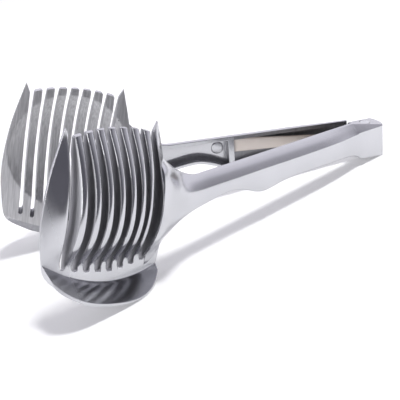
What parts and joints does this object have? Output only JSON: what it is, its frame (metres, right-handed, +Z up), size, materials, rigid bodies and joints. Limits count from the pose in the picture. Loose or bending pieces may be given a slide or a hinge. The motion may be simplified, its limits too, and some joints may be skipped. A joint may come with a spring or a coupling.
{
  "type": "lemon slicer",
  "caption": "Hinged citrus-slicing tongs: mirrored cast arms with domed, slotted heads that hold a lemon and guide a knife, sprung open by a leaf spring.",
  "frame": {"origin": "under the middle of the tool, on the surface that it stands on with its arms open", "axes": "+X from the heads to the hinge, +Y from the front arm to the rear arm, +Z up"},
  "size_m": [0.2018, 0.1034, 0.0929],
  "materials": {
    "cast_metal": "polished",
    "pin_steel": "satin",
    "spring_steel": "brushed"
  },
  "bodies": {
    "front_arm_body": {"front_arm": "cast_metal", "hinge_pin": "pin_steel", "leaf_spring": "spring_steel"},
    "rear_arm_body": {"rear_arm": "cast_metal"}
  },
  "joints": [
    {"name": "arm_hinge", "type": "hinge", "parent": "front_arm_body", "child": "rear_arm_body", "pos_m": [0.09012, 0, 0.01333], "axis": [0.1597, 0, 0.9872], "range_deg": [0, 21.2], "stiffness_Nm_per_rad": 1, "springref_deg": -14.32, "deforming": ["leaf_spring"]}
  ]
}
